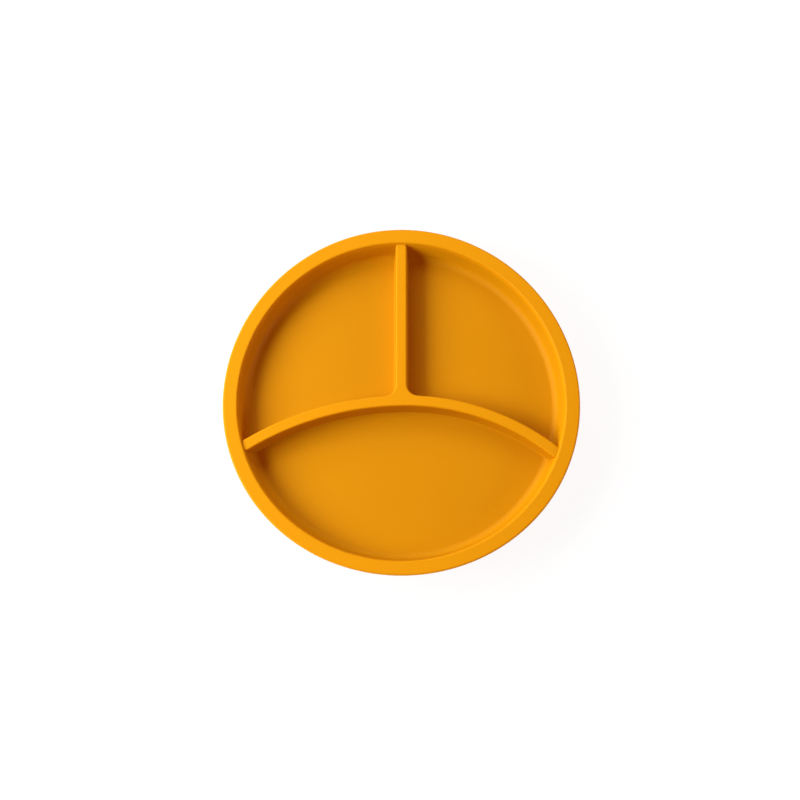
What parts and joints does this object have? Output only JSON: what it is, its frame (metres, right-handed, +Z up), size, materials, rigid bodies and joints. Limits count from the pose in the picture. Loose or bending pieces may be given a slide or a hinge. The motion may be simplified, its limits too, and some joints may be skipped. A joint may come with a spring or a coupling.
{
  "type": "divided plate",
  "caption": "Round silicone plate with a raised rim, compartments split by a straight and a curved divider, and a foot ring.",
  "frame": {"origin": "middle of the ring that the plate stands on", "axes": "+Z up; +Y from the middle along the straight divider to the back of the rim; +X to the right"},
  "size_m": [0.18, 0.18, 0.02],
  "materials": {
    "silicone": "matt orange-yellow silicone"
  },
  "bodies": {
    "root": {"plate": "silicone"}
  },
  "joints": []
}
